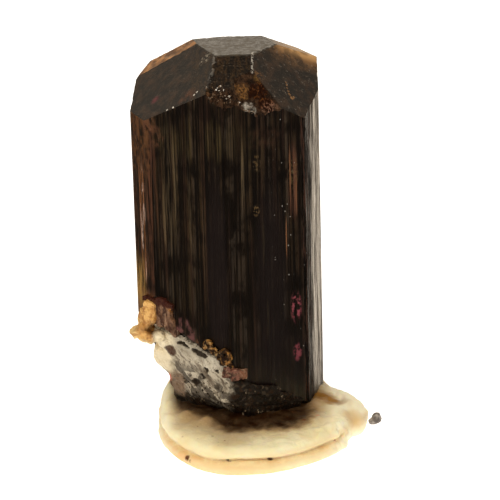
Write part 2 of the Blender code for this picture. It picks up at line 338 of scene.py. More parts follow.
def buildCrystal(materials):
    rng = random.Random(crystal["striaSeed"])
    corners, walls = prismCorners()
    spots, outs, profiles = [], [], []
    for i, (_, _, spacing) in enumerate(crystal["faces"].values()):
        start, end = corners[i - 1], corners[i]
        length = np.linalg.norm(end - start)
        count = int(length / crystal["columnWidth"])
        runs = [striaProfile(length, spacing, rng) for _ in range(3)]
        for k in range(count):
            along = (k + (rng.uniform(-0.3, 0.3) if k else 0)) / count
            spots.append(start + (end - start) * along)
            outs.append(walls[i][0] if k else (walls[i][0] + walls[i - 1][0]) / 2)
            profiles.append([np.interp(along * length, *run) for run in runs])
    spots, outs, profiles = np.array(spots), np.array(outs), np.array(profiles)
    x, y = spots.T
    top, depth = tipHeight(x, y)
    bottom = np.minimum(baseHeightAt(x, y), top - 1)
    rows = crystal["rows"]
    columns = len(spots)
    across = spots @ np.array((0.751, -0.660))
    onFront = (outs @ wayOut(crystal["faces"]["frontLeft"][0])) > 0.999
    groove = crystal["grooveDepth"] * np.exp(-((across - crystal["grooveAt"]) / crystal["grooveWidth"]) ** 2)
    groove = np.where(onFront, groove, 0)
    vertices = []
    for row in range(rows + 1):
        share = row / rows
        z = bottom + (top - bottom) * share
        phase = z[:, None] * 0.16 + np.arange(3) * 2.1 + 0.4 * np.sin(profiles * 40)
        weights = np.clip(0.5 + np.sin(phase), 0.02, None)
        weights /= weights.sum(1, keepdims=True)
        inwards = crystal["striaDepth"] * (profiles * weights).sum(1)
        inwards = inwards + groove * (0.7 + 0.3 * np.sin(z * 0.7))
        level = spots - outs * inwards[:, None]
        vertices.append(np.column_stack((level, z)))
    sides = np.concatenate(vertices)
    faces, slots = [], []
    for row in range(rows):
        for k in range(columns):
            n = (k + 1) % columns
            a, b = row * columns, (row + 1) * columns
            faces.append((a + k, a + n, b + n, b + k))
            slots.append(prismSlot)
    # the tip and the base are triangulated in plan, and share the sides' end points
    planes = tipPlanes()
    topRim = sides[rows * columns:, :2]
    lines = tipEdges(planes, walls)
    tipNames = ["flat"] + list(crystal["tips"])
    thin = [tipNames.index(name) for name in crystal["thinTips"]]
    tipPoints, tipFaces = planMesh(topRim, lines, crystal["tipGrid"], crystal["pitGrid"])
    tx, ty = tipPoints[columns:].T
    tz, tipDepth = tipHeight(tx, ty)
    tz -= crystal["edgeChips"] * edgeChips(tx, ty, planes, tipDepth)
    first = len(sides)
    sides = np.vstack((sides, np.column_stack((tx, ty, tz))))
    tipDepth = np.concatenate((depth, tipDepth))
    for face in tipFaces:
        ids = [first - columns + v if v < columns else first + v - columns for v in face]
        faces.append(ids)
        if min(tipDepth[v] for v in face) > 0.01:
            slots.append(pitSlot)
        else:
            middle = np.mean([sides[v] for v in ids], axis=0)
            heights = [a + b * middle[0] + c * middle[1] for a, b, c in planes]
            slots.append(thinSlot if int(np.argmin(heights)) in thin else tipSlot)
    lowRim = sides[:columns, :2]
    basePoints, baseFaces = planMesh(lowRim, [], crystal["baseGrid"], None)
    bx, by = basePoints[columns:].T
    bz = baseHeightAt(bx, by)
    first = len(sides)
    sides = np.vstack((sides, np.column_stack((bx, by, bz))))
    for face in baseFaces:
        faces.append([v if v < columns else first + v - columns for v in reversed(face)])
        slots.append(baseSlot)
    return meshPiece("tourmalineCrystal", sides * mm, faces, materials, False, slots)


def tipEdges(planes, walls):
    # plan lines where two tip faces meet, cut to where they are the lowest
    lines = []
    for i in range(len(planes)):
        for j in range(i + 1, len(planes)):
            a, b, c = (np.array(planes[i]) - np.array(planes[j]))
            size = math.hypot(b, c)
            if size < 1e-6:
                continue
            origin = -a * np.array((b, c)) / size ** 2
            way = np.array((-c, b)) / size
            low, high = -30.0, 30.0
            limits = [(np.array(wall[0]), wall[1] - 0.12) for wall in walls]
            for k, plane in enumerate(planes):
                if k not in (i, j):
                    d = np.array(planes[i]) - np.array(plane)
                    limits.append((d[1:], -d[0]))
            for out, far in limits:
                slope, room = out @ way, far - out @ origin
                if abs(slope) < 1e-9:
                    if room < 0:
                        low, high = 1.0, 0.0
                elif slope > 0:
                    high = min(high, room / slope)
                else:
                    low = max(low, room / slope)
            if high - low > crystal["shortestEdge"]:
                lines.append((origin + way * low, origin + way * high))
    return lines


def planMesh(rim, lines, grid, fineGrid):
    # constrained Delaunay triangles inside a rim, with lines kept as edges
    points = [Vector(p) for p in rim]
    edges = [(k, (k + 1) % len(rim)) for k in range(len(rim))]
    for start, end in lines:
        steps = max(2, int(np.linalg.norm(end - start) / crystal["edgeStep"]))
        first = len(points)
        for k in range(steps + 1):
            points.append(Vector(start + (end - start) * k / steps))
        edges += [(first + k, first + k + 1) for k in range(steps)]
    rng = random.Random(crystal["gridSeed"])
    low, high = rim.min(0), rim.max(0)

    def fill(lowX, highX, lowY, highY, spacing, skip=None):
        for gy in np.arange(lowY, highY, spacing * 0.87):
            for gx in np.arange(lowX, highX, spacing):
                spot = Vector((gx + rng.uniform(-0.3, 0.3) * spacing, gy + rng.uniform(-0.3, 0.3) * spacing))
                if skip and skip[0] < spot.x < skip[1] and skip[2] < spot.y < skip[3]:
                    continue
                points.append(spot)

    pit = crystal["pitWindow"]
    fill(low[0], high[0], low[1], high[1], grid, pit if fineGrid else None)
    if fineGrid:
        fill(*pit, fineGrid)
    made = geometry.delaunay_2d_cdt(points, edges, [list(range(len(rim)))], 1, 1e-5)
    order = {}  # rim points keep their own numbers, the others follow
    inner = []
    for k, origins in enumerate(made[3]):
        onRim = [o for o in origins if o < len(rim)]
        if onRim:
            order[k] = min(onRim)
        else:
            order[k] = len(rim) + len(inner)
            inner.append(tuple(made[0][k]))
    faces = [[order[v] for v in face] for face in made[2]]
    used = sorted({v for face in faces for v in face if v >= len(rim)})
    again = {v: len(rim) + k for k, v in enumerate(used)}
    inner = [inner[v - len(rim)] for v in used]
    faces = [[again.get(v, v) for v in face] for face in faces]
    return np.vstack((rim, np.array(inner))), faces


def edgeChips(x, y, planes, depth):
    heights = np.array([a + b * x + c * y for a, b, c in planes])
    heights.sort(axis=0)
    close = heights[1] - heights[0]
    near = np.clip(1 - close / 0.05, 0, 1)
    picked = np.array([max(0.0, noise.noise(Vector((px * 2.3, py * 2.3, 9.0)))) for px, py in zip(x, y)])
    return near * picked * 2.0 * (depth <= 0)


# ---- the crystal's finishes

tourmalineFinish = {
    "ior": 1.63,
    "bodyDark": (0.0036, 0.0017, 0.0008),
    "bodyBrown": (0.033, 0.0175, 0.0052),
    "tan": (0.165, 0.110, 0.046),
    "olive": (0.066, 0.044, 0.011),
    "amber": (0.42, 0.15, 0.040),
    "rust": (0.135, 0.045, 0.018),
    "pink": (0.26, 0.036, 0.055),
    "plum": (0.115, 0.040, 0.036),
    "clay": (0.110, 0.040, 0.015),
    "shade": (0.0085, 0.0046, 0.0043),
    "gold": (0.150, 0.085, 0.022),
    "soot": (0.0020, 0.0010, 0.0008),
    "paintedReflection": (0.19, 0.150, 0.104),
    "chipAndGlint": (0.62, 0.58, 0.52),
    "crack": (((6.05, -3.9, 35.1), 0.16), ((6.08, -4.2, 34.9), 0.17), ((6.12, -4.5, 34.7), 0.18),
              ((6.2, -4.8, 34.5), 0.20), ((6.32, -5.1, 34.25), 0.24), ((6.55, -5.35, 33.95), 0.30),
              ((6.75, -5.1, 33.95), 0.24)),
    "tipGlints": ((-5.43, -5.61, 33.15), (-4.83, -6.12, 33.52), (-2.76, -7.35, 35.02), (-2.47, -7.32, 35.30)),
    # on the two front faces: name of the colour, mm across, height, half width, half height, strength
    "frontLeftPatches": (
        ("shade", 5.6, 17.0, 1.7, 13.5, 0.85), ("clay", -3.2, 31.5, 1.5, 1.2, 0.9),
        ("tan", -0.2, 25.5, 1.1, 8.0, 0.45), ("tan", -1.1, 22.5, 0.35, 4.0, 0.40),
        ("tan", 2.25, 24.5, 0.24, 7.5, 0.50), ("olive", 2.3, 30.5, 0.6, 3.0, 0.6),
        ("olive", 5.6, 31.0, 1.5, 2.6, 0.55), ("rust", -2.6, 25.0, 0.9, 7.0, 0.40),
        ("olive", 0.0, 30.0, 2.4, 2.0, 0.35), ("tan", 4.0, 20.0, 0.22, 7.0, 0.22),
        ("olive", 1.0, 15.5, 2.6, 3.5, 0.15), ("plum", 0.35, 11.0, 0.75, 1.3, 1.0),
        ("plum", 1.85, 10.7, 0.60, 1.2, 1.0), ("clay", -2.2, 30.3, 1.6, 1.3, 0.6),
        ("plum", 1.0, 11.8, 0.95, 0.6, 0.8), ("clay", 2.9, 10.2, 0.6, 0.7, 0.8),
    ),
    "frontRightPatches": (
        ("shade", -0.2, 16.5, 2.3, 12.5, 0.75), ("shade", 0.5, 8.0, 4.6, 4.5, 0.55),
        ("tan", -3.05, 27.2, 0.24, 4.4, 0.60), ("olive", -3.8, 31.0, 1.3, 2.4, 0.45),
        ("olive", -0.8, 13.0, 0.22, 3.0, 0.35), ("rust", 2.4, 26.2, 0.75, 4.6, 0.60),
        ("amber", 2.0, 27.5, 0.16, 3.0, 0.35), ("amber", 1.55, 20.6, 0.11, 2.4, 0.55),
        ("amber", 2.75, 24.5, 0.12, 2.2, 0.30), ("clay", -0.8, 31.0, 2.4, 1.2, 0.15),
        ("olive", -1.0, 20.5, 0.25, 2.6, 0.20), ("pink", 2.45, 13.4, 0.75, 1.9, 0.85),
        ("pink", 2.5, 8.7, 0.60, 1.1, 0.7), ("olive", -2.0, 29.5, 1.5, 3.0, 0.2),
        ("gold", -1.65, 23.9, 0.45, 0.65, 0.8), ("gold", -1.5, 28.6, 0.50, 1.1, 0.45),
        ("soot", -4.05, 22.2, 0.35, 1.4, 0.9), ("gold", 2.4, 27.2, 0.7, 2.2, 0.35),
    ),
}


def alongFace(paint, name):  # mm along a prism face, from left to right as seen from outside
    angle = math.radians(crystal["faces"][name][0])
    return paint.x * math.cos(angle) + paint.y * math.sin(angle)


def onFace(paint, name):  # 1 on a prism face
    out = wayOut(crystal["faces"][name][0])
    far = crystal["faces"][name][1]
    return (paint.x * float(out[0]) + paint.y * float(out[1])).step(far - 0.36, far - 0.28)


def overPlane(paint, first, second):  # height of one tip face's plane over another's, mm
    planes = dict(zip(["flat"] + list(crystal["tips"]), tipPlanes()))
    a, b, c = np.array(planes[first]) - np.array(planes[second])
    return paint.x * float(b) + paint.y * float(c) + float(a)


def prismFinish():
    look = tourmalineFinish
    p = Paint("tourmalinePrism", IOR=look["ior"])
    z = p.z
    broad = p.noise(2.6, 2, 0.5, p.stretch(1, 1, 0.014))  # long streaks, about 0.4 mm wide
    fine = p.noise(4.9, 2, 0.5, p.stretch(1, 1, 0.012))
    short = p.noise(4.4, 3, 0.6, p.stretch(1, 1, 0.055))
    blot = p.noise(0.5, 3, 0.6)
    streak = broad.step(0.48, 0.60) * 0.35 + fine.step(0.48, 0.60) * 0.65
    brown = streak * blot.step(0.36, 0.62) * (0.45 + z.step(13, 24) * 0.55)
    p.ground(look["bodyDark"], look["bodyBrown"], brown)
    left, right = onFace(p, "frontLeft"), onFace(p, "frontRight")
    strip = onFace(p, "rightStrip")
    side = onFace(p, "leftStrip").most(onFace(p, "leftSide") * 0.3)
    # single striae, each a little paler or darker than the rest: painted highlights on their sides and
    # painted shade in their grooves
    stria = p.cellTone(4.2, p.stretch(1, 1, 0.012))
    p.lay((0.055, 0.037, 0.022), stria.step(0.80, 0.84) * (1 - strip) * blot.step(0.44, 0.60) * 0.35)
    p.lay((0.0025, 0.0014, 0.0010), (1 - stria.step(0.24, 0.28)) * 0.8)
    redder = p.cellTone(2.6, p.stretch(1, 1, 0.03), 1).step(0.66, 0.72)
    p.lay((0.032, 0.0115, 0.0055), redder * streak * 0.45)
    lines = fine.step(0.49, 0.57) * 0.75 + short.step(0.49, 0.58) * 0.30
    blots = p.noise(1.3, 4, 0.65).step(0.42, 0.58)
    bits = p.noise(1.9, 4, 0.65, p.stretch(1, 1, 0.8)).step(0.47, 0.56)
    dots = p.noise(3.4, 3, 0.6).step(0.50, 0.56)
    marks = {"plum": blots, "pink": bits, "clay": blots, "shade": 1.0, "gold": dots, "soot": dots}
    for here, name in ((left, "frontLeft"), (right, "frontRight")):
        across = alongFace(p, name)
        for tone, middle, height, halfWide, halfHigh, strength in look[name + "Patches"]:
            gap = ((across - middle) / halfWide) ** 2.0 + ((z - height) / halfHigh) ** 2.0
            share = (1 - gap.step(0.15, 1.0)) * here * marks.get(tone, lines) * strength
            p.lay(look[tone], share)
    # the narrow faces at the left: red-brown, with painted glow of light let through and painted highlights,
    # as bright lines near their inner edge
    inner = alongFace(p, "leftStrip")
    p.lay(look["rust"], side * short.step(0.44, 0.62) * blot.step(0.34, 0.60) * 0.45)
    glow = side * p.window(inner, -1.45, 0.00, 0.25) * p.window(z + blot * 2.0, 16.5, 27.5, 1.0)
    p.lay(look["amber"], glow * fine.step(0.46, 0.56) * 0.65)
    p.lay((0.80, 0.60, 0.50), glow * short.step(0.53, 0.60) * blot.step(0.42, 0.54) * 0.55)
    upper = p.noise(1.5, 4, 0.65).step(0.40, 0.60) * side
    p.lay((0.110, 0.042, 0.010), upper * z.step(25.0, 27.5) * 0.75)
    p.lay((0.150, 0.055, 0.018), (upper * 0.7 + side * 0.3) * p.window(z, 10.6, 13.9, 0.5) * 0.9)
    low = onFace(p, "leftStrip") * p.window(z + blot * 4.0, 13.0, 18.5, 1.2) * (1 - inner.step(-1.6, 0.0))
    p.lay((0.36, 0.20, 0.040), low * short.step(0.40, 0.56) * 0.8)
    # the narrow face at the right: a painted reflection of the bright room makes its lit part pale
    # silver-grey
    outwards = alongFace(p, "rightStrip")
    wide = p.noise(2.1, 4, 0.65, p.stretch(1, 1, 0.07))
    lit = strip * (outwards + wide * 1.6 - 0.8).step(-2.8, -2.1)
    sheen = fine.step(0.48, 0.60) * 0.3 + wide.step(0.44, 0.55) * 0.7
    p.lay(look["rust"], strip * (1 - lit) * short.step(0.50, 0.6) * 0.5)
    # painted reflection: the lit part darkened under, then laid with silver-grey streaks
    p.lay((0.030, 0.017, 0.008), lit)
    p.lay(look["paintedReflection"], lit * (sheen + short.step(0.56, 0.66) * 0.3).least(1) * 0.9)
    speck = p.cellTone(3.9).step(0.95, 0.96)
    speck = speck * (1 - p.cells(3.9).step(0.16, 0.30)) * right * blot.step(0.44, 0.54)
    p.lay(look["chipAndGlint"], speck * alongFace(p, "frontRight").step(-1.0, 1.6) * 0.45)
    rough = 0.20 + fine * 0.22 + p.noise(2.5, 4, 0.6) * 0.10
    rough = rough + strip * ((1 - wide.step(0.42, 0.54)) * 0.32 + (1 - lit) * 0.2)
    bump = p.bump(stria, 0.02, p.bump(broad, 0.14))
    bump = p.bump(fine, 0.05, bump)
    bump = p.bump((fine * 0.3 + wide) * strip, 0.65, bump)
    bump = p.bump((outwards + wide * 1.4).least(-1.6) * strip, 0.60, bump)  # its front third leans forward
    bump = p.bump(p.noise(2.4, 3, 0.6), 0.02, bump)
    return p.apply(Roughness=rough, Normal=bump)


def tipFinish():
    look = tourmalineFinish
    p = Paint("tourmalineTip", IOR=look["ior"])
    grain = p.noise(0.8, 4, 0.6)
    fine = p.noise(3.0, 4, 0.6)
    dots = 1 - p.cells(2.1).step(0.10, 0.24)
    p.ground((0.0085, 0.0055, 0.0035), (0.036, 0.0185, 0.0095), grain.step(0.42, 0.68))
    p.lay((0.050, 0.040, 0.030), dots * grain.step(0.40, 0.52) * 0.7)
    flat = p.z.step(37.85, 37.95)
    mottle = p.noise(2.3, 4, 0.6)
    p.lay((0.026, 0.021, 0.015), flat)
    p.lay((0.085, 0.064, 0.038), flat * mottle.step(0.50, 0.60) * 0.7)
    scratch = p.noise(2.2, 4, 0.7, p.stretch(0.35, 1.2, 1.2), 0.6)
    p.lay((0.070, 0.052, 0.036), scratch.step(0.56, 0.66) * (1 - flat) * 0.7)
    p.lay((0.0040, 0.0026, 0.0018), (1 - scratch.step(0.34, 0.42)) * (1 - flat) * 0.7)
    front = p.window(p.x, -3.0, 2.9, 0.1) * (1 - flat)
    runs = p.noise(3.5, 3, 0.6, p.stretch(1, 0.12, 0.12))
    p.lay((0.042, 0.022, 0.008), front * runs.step(0.45, 0.6) * 0.8)
    p.lay((0.0020, 0.0010, 0.0006), front * p.noise(5.0, 2, 0.5).step(0.48, 0.58) * 0.8)
    p.lay((0.34, 0.29, 0.22), p.near((-1.7, -3.0, 37.4), 0.2, 1.0) * fine.step(0.52, 0.57) * 0.8)
    # light let through the thin upper right edge
    rim = 1 - overPlane(p, "rightBack", "right").step(-0.4, 1.9)
    rim = rim * p.x.step(3.4, 7.0) * (1 - flat)
    p.lay((0.30, 0.145, 0.050), rim * (0.34 + grain.step(0.38, 0.6) * 0.70))
    glow = (1 - overPlane(p, "rightBack", "right").step(0.0, 0.8)) * p.x.step(4.4, 7.4) * (1 - flat)
    p.lay((0.56, 0.32, 0.125), glow * (0.45 + grain.step(0.36, 0.58) * 0.55))
    p.lay((0.13, 0.060, 0.020), p.near((3.4, -5.95, 36.4), 0.2, 0.9) * fine.step(0.42, 0.56) * 0.9)
    for middle, size in look["crack"]:
        p.lay((0.26, 0.13, 0.045), p.near(middle, size * 0.3, size) * fine.step(0.36, 0.52) * 0.9)
    p.lay(look["pink"], p.near((-6.68, -1.94, 33.22), 0.1, 0.7) * 0.35)
    p.lay(look["rust"], p.near((-3.4, -6.6, 34.4), 0.2, 1.6) * grain.step(0.4, 0.6) * 0.5)
    # chipped edges: pale chips, with painted glints along them
    bits = p.cellTone(5.5)
    wornAndGlinting = (1 - overPlane(p, "left", "front").size().step(0.02, 0.34)) * bits.step(0.62, 0.68) * 0.6
    wornAndGlinting = wornAndGlinting * p.z.step(35.8, 37.0) * 0.5
    wornAndGlinting = wornAndGlinting.most((1 - overPlane(p, "front", "right").size().step(0.03, 0.13)) * bits.step(0.25, 0.3))
    wornAndGlinting = wornAndGlinting * (1 - p.y.step(-3.3, -2.9)) * p.y.step(-9.2, -6.5)
    brim = (1 - overPlane(p, "flat", "front").size().step(0.01, 0.09)) * front
    brim = brim.most(1 - overPlane(p, "flat", "right").size().step(0.01, 0.10)) * (1 - p.y.step(-1.0, 0.2))
    brim = brim * p.z.step(37.6, 37.8) * p.noise(1.1, 2).step(0.50, 0.6) * bits.step(0.35, 0.4)
    p.lay(look["chipAndGlint"], wornAndGlinting.most(brim) * 0.55)
    # painted glints: small white dots of highlight on the tip
    for middle in look["tipGlints"]:
        p.lay(look["chipAndGlint"], p.near(middle, 0.06, 0.17))
    rough = 0.15 + fine * 0.16 + flat * (mottle.step(0.38, 0.62) * 0.24 + 0.06)
    bump = p.bump(fine, 0.022, p.bump(grain, 0.05))
    bump = p.bump(dots, 0.020, bump)
    return p.apply(Roughness=rough, Normal=bump)


def edgeFinish():  # the thin back edges that light comes through
    p = Paint("tourmalineThinEdge", IOR=tourmalineFinish["ior"])
    grain = p.noise(0.9, 4, 0.6)
    fine = p.noise(3.0, 4, 0.65)
    p.ground((0.10, 0.042, 0.016), (0.46, 0.22, 0.085), grain.step(0.36, 0.62))
    p.lay((0.62, 0.42, 0.24), fine.step(0.54, 0.68) * 0.6)
    bump = p.bump(fine, 0.06, p.bump(grain, 0.15))
    return p.apply(Roughness=0.25 + fine * 0.2, Normal=bump)


def pitFinish():
    look = tourmalineFinish
    p = Paint("tourmalinePit", IOR=look["ior"], Specular_IOR_Level=0.2)
    grain = p.noise(1.6, 4, 0.65)
    fine = p.noise(4.5, 4, 0.65)
    p.ground((0.014, 0.0075, 0.0045), (0.060, 0.030, 0.015), grain.step(0.4, 0.65))
    shaken = p.shaken(1.1, 0.55)
    gold = p.near((1.6, -7.8, 35.2), 0.35, 1.25, shaken) * (0.15 + fine.step(0.47, 0.55) * 0.85)
    p.lay((0.21, 0.100, 0.030), gold)
    threads = p.noise(3.2, 4, 0.7, p.stretch(1, 1, 0.5), 1.2)
    # painted shade: the deep hollow at the pit's right darkened to near black, over its red-brown colour,
    # with orange-brown threads
    caveShade = p.near((3.32, -7.15, 35.29), 0.65, 1.15, shaken)
    caveShade = caveShade.most(p.near((3.96, -7.75, 34.16), 0.6, 1.1, shaken))
    caveShade = caveShade.most(p.near((2.75, -7.2, 35.6), 0.35, 0.75, shaken))
    p.lay((0.0160, 0.0036, 0.0008), caveShade * 0.95)
    p.lay((0.170, 0.060, 0.014), caveShade * threads.step(0.54, 0.62) * 0.8)
    p.lay((0.16, 0.085, 0.020), p.near((3.46, -6.2, 36.2), 0.2, 0.75) * fine.step(0.4, 0.6))
    # painted glints: fine light-red highlights low at the pit's right
    p.lay((0.24, 0.13, 0.09), p.near((4.4, -8.1, 33.6), 0.3, 1.2) * threads.step(0.52, 0.60) * 0.8)
    p.lay((0.50, 0.47, 0.41), p.near((2.35, -9.05, 33.8), 0.35, 0.85, shaken) * threads.step(0.36, 0.50))
    p.lay((0.0040, 0.0020, 0.0012), (1 - p.x.step(1.2, 1.8)) * (1 - fine.step(0.36, 0.44)) * 0.9)
    p.lay((0.17, 0.085, 0.040), (1 - p.x.step(-1.7, -1.0)) * grain.step(0.4, 0.5))
    rough = 0.22 + grain * 0.3 + caveShade * 0.4
    bump = p.bump(fine, 0.10, p.bump(grain, 0.25))
    return p.apply(Roughness=rough, Normal=bump)


def baseFinish():
    p = Paint("tourmalineBase", IOR=tourmalineFinish["ior"])
    grain = p.noise(1.4, 4, 0.6)
    pale = p.cellTone(2.2).step(0.84, 0.88) * (1 - p.cells(2.2).step(0.10, 0.30))
    p.ground((0.014, 0.010, 0.008), (0.055, 0.034, 0.022), grain.step(0.4, 0.65))
    p.lay((0.20, 0.165, 0.12), pale * 0.8)
    bump = p.bump(p.noise(4.0, 4, 0.6), 0.12, p.bump(grain, 0.3))
    return p.apply(Roughness=0.25 + grain * 0.4, Normal=bump)


# ---- bodies made finer: lumps, or the frame's own solids

def ripple(points, scale, seed=0):  # smooth noise from -1 to 1
    spots = points * scale + seed * 17.31
    cell = np.floor(spots).astype(np.int64)
    part = spots - cell
    part = part * part * (3 - 2 * part)
    total = 0.0
    for corner in ((a, b, c) for a in (0, 1) for b in (0, 1) for c in (0, 1)):
        key = (cell + corner) @ np.array((73856093, 19349663, 83492791))
        key = (key ^ (key >> 13)) * 1274126177 % 4294967296
        key = (key ^ (key >> 15)) * 2246822519 % 4294967296
        weight = np.prod([part[:, i] if corner[i] else 1 - part[:, i] for i in range(3)], axis=0)
        total = total + weight * (key / 2147483648.0 - 1)
    return total


def folded(points, scale, seed=0, octaves=3):
    return sum(ripple(points, scale * 2 ** k, seed + k) / 2 ** k for k in range(octaves)) / 1.5


def refine(name, body, voxel, rounds, material):
    piece = fromBody(name, body)
    remesh = piece.modifiers.new("remesh", "REMESH")
    remesh.mode = "VOXEL"
    remesh.voxel_size = voxel * mm
    if rounds:
        soften = piece.modifiers.new("soften", "SMOOTH")
        soften.iterations = rounds
        soften.factor = 0.5
    keepShape(piece, name)
    piece.data.materials.clear()
    piece.data.materials.append(material)
    return piece


def addLump(body, middle, half, turn, lean=None):  # an egg, or where it has a lean a leaning block
    place = Matrix.Translation(Vector(middle) * mm) @ Matrix.Rotation(math.radians(turn), 4, "Z")
    if lean is not None:
        place = place @ Matrix.Rotation(math.radians(lean), 4, "Y")
    place = place @ Matrix.Diagonal((*(Vector(half) * mm), 1.0))
    if lean is None:
        bmesh.ops.create_icosphere(body, subdivisions=3, radius=1.0, matrix=place)
    else:
        bmesh.ops.create_cube(body, size=2.0, matrix=place)


def finer(name, node, voxel, rounds, material, extra=()):
    body = bmesh.new()
    body.from_mesh(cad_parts[node].data)
    bmesh.ops.remove_doubles(body, verts=body.verts, dist=0.001 * mm)
    for lump in extra:
        addLump(body, *lump)
    return refine(name, body, voxel, rounds, material)


def reshape(piece, change, smooth=True):
    mesh = piece.data
    count = len(mesh.vertices)
    flatPoints, flatNormals = np.empty(count * 3), np.empty(count * 3)
    mesh.vertices.foreach_get("co", flatPoints)
    mesh.vertices.foreach_get("normal", flatNormals)
    points = change(flatPoints.reshape(-1, 3) / mm, flatNormals.reshape(-1, 3))
    mesh.vertices.foreach_set("co", (points * mm).ravel())
    mesh.polygons.foreach_set("use_smooth", [smooth] * len(mesh.polygons))
    mesh.update()


def lumps(name, parts, voxel, rounds, material):
    # egg-shaped lumps joined into one skin: middle, half sizes and turn about z of each
    body = bmesh.new()
    for lump in parts:
        addLump(body, *lump)
    return refine(name, body, voxel, rounds, material)


# ---- the pale matrix

matrixLook = {
    "voxel": 0.15,
    "forward": 0.50,  # mm that its front stands before its solid's
    "foot": (((0.75, -9.40, 4.9), (1.5, 0.80, 2.0), 10), ((2.5, -8.68, 4.2), (1.6, 0.75, 1.8), 27, 14),
             ((4.2, -7.78, 3.7), (1.5, 0.72, 1.2), 27, 16), ((5.7, -6.98, 3.3), (1.0, 0.62, 0.7), 27, 12)),
    "footReach": (0.0, 1.6),  # the undercut ends between these, along x
    "undercut": 0.75,
    # least x of its left end at each height
    "leftWall": ((3.0, -5.65), (4.3, -5.75), (4.8, -6.05), (5.7, -6.1), (6.1, -6.6), (6.7, -7.35),
                 (7.6, -7.9), (20.0, -20.0)),
    "bladeTilt": -36,  # degrees from level, along the front
    "bladeDepth": 0.34,
    # slots: middle on the front, half length, half height, degrees from level, depth
    "slots": (((-3.12, -7.65, 8.98), 1.02, 0.19, -13, 0.5), ((-4.62, -6.35, 9.42), 0.78, 0.13, -13, 0.35),
              ((-2.35, -8.3, 7.55), 0.30, 0.26, -50, 0.5), ((-1.36, -9.2, 7.60), 0.22, 0.22, -45, 0.4),
              ((-2.80, -8.0, 6.70), 0.32, 0.24, -60, 0.5), ((-3.55, -7.4, 5.85), 0.30, 0.42, -70, 0.5)),
}


def bladeAxes(points):  # along and across the blades of the front
    along = alongFront(points[:, 0], points[:, 1])
    tilt = math.radians(matrixLook["bladeTilt"])
    return (along * math.cos(tilt) + points[:, 2] * math.sin(tilt),
            points[:, 2] * math.cos(tilt) - along * math.sin(tilt))


def slotShadeShare(p):  # 1 in the slots
    total = None
    for middle, halfLong, halfHigh, tilt, _ in matrixLook["slots"]:
        c, s = math.cos(math.radians(tilt)), math.sin(math.radians(tilt))
        u = alongFront(p.x, p.y) - alongFront(*middle[:2])
        v = p.z - middle[2]
        gap = ((u * c + v * s) / halfLong) ** 4.0 + ((v * c - u * s) / halfHigh) ** 4.0
        share = 1 - gap.step(0.6, 1.3)
        total = share if total is None else total.most(share)
    return total


def albiteFinish():
    p = Paint("albite", IOR=1.53)
    tilt = math.radians(matrixLook["bladeTilt"])
    u = alongFront(p.x, p.y)
    along = u * math.cos(tilt) + p.z * math.sin(tilt)
    across = p.z * math.cos(tilt) - u * math.sin(tilt)
    bladeSpot = p.node("CombineXYZ", {}, [along * 0.4, across * 1.5, p.y * 0.5])
    blades = p.noise(1.0, 4, 0.62, bladeSpot)
    grain = p.noise(2.8, 4, 0.65)
    blot = p.noise(0.75, 3, 0.6)
    grains = p.node("CombineXYZ", {}, [along * 0.75 + grain * 0.8, across * 1.7, p.y * 0.9])
    cell = p.cellTone(1.5, grains)
    small = p.cellTone(3.4)
    p.ground((0.20, 0.16, 0.115), (0.55, 0.49, 0.385), blades.step(0.40, 0.58))
    p.lay((0.075, 0.052, 0.036), (1 - grain.step(0.32, 0.42)) * 0.8)
    # cream towards the upper left, grey grains in the middle, black at the foot and to the right
    below = 8.5 - p.x * 0.27 - p.z
    band = 1 - (below + blot * 1.6).step(1.2, 2.4)  # smooth and pale along the top
    p.lay((0.43, 0.385, 0.305), band * 0.7)
    thin = p.noise(4.0, 3, 0.6, bladeSpot)
    p.lay((0.11, 0.085, 0.06), (1 - thin.step(0.36, 0.44)) * (0.75 - band * 0.5))
    middle = (below + blot * 2.0).step(2.9, 4.2)
    p.lay((0.050, 0.038, 0.028), middle * cell.step(0.36, 0.44) * 0.8)
    p.lay((0.36, 0.31, 0.24), middle * (1 - cell.step(0.14, 0.18)) * 0.6)
    foot = (below + blot * 1.6).step(5.2, 6.6).most((p.x + blot * 1.2).step(0.1, 0.9))
    p.lay((0.0055, 0.0028, 0.0014), foot * 0.98)
    p.lay((0.050, 0.037, 0.024), foot * small.step(0.86, 0.9))
    p.lay((0.026, 0.012, 0.005), foot * (1 - small.step(0.20, 0.24)))
    # painted glow: the left edge lit bright cream, over the albite's own cream
    cream = (1 - (p.x + blot * 1.4).step(-5.6, -4.4)) * (p.z + blot).step(6.0, 6.8)
    p.lay((0.84, 0.74, 0.54), cream * 0.9)
    p.lay((0.72, 0.67, 0.56), p.near((-1.9, -8.8, 8.3), 0.5, 1.3) * grain.step(0.36, 0.5) * 0.4)
    block = p.near((-5.2, -5.6, 5.1), 0.9, 1.7) * (1 - p.x.step(-4.8, -4.4))
    p.lay((0.23, 0.150, 0.095), block * grain.step(0.28, 0.45) * 0.9)
    edge = (1 - (p.x + p.z * 0.17 + 5.05).step(-0.25, 0.15)) * (1 - p.z.step(5.6, 6.4))
    p.lay((0.055, 0.022, 0.012), edge)
    brown = ((u + 0.98) / 0.68) ** 2.0 + ((p.z - 8.45 + (u + 0.98) * 0.15) / 0.48) ** 2.0
    brown = brown + (grain - 0.5) * 2.0
    p.lay((0.075, 0.033, 0.020), (1 - brown.step(0.6, 1.4)) * (0.75 + grain * 0.4).least(1))
    # painted shade in the slots
    p.lay((0.040, 0.028, 0.020), slotShadeShare(p) * 0.95)
    p.lay((0.55, 0.17, 0.10), p.near((-6.2, -5.0, 5.6), 0.15, 0.6))
    bump = p.bump(grain, 0.16, p.bump(blades, 0.30))
    return p.apply(Roughness=0.40 + grain * 0.3, Normal=bump)


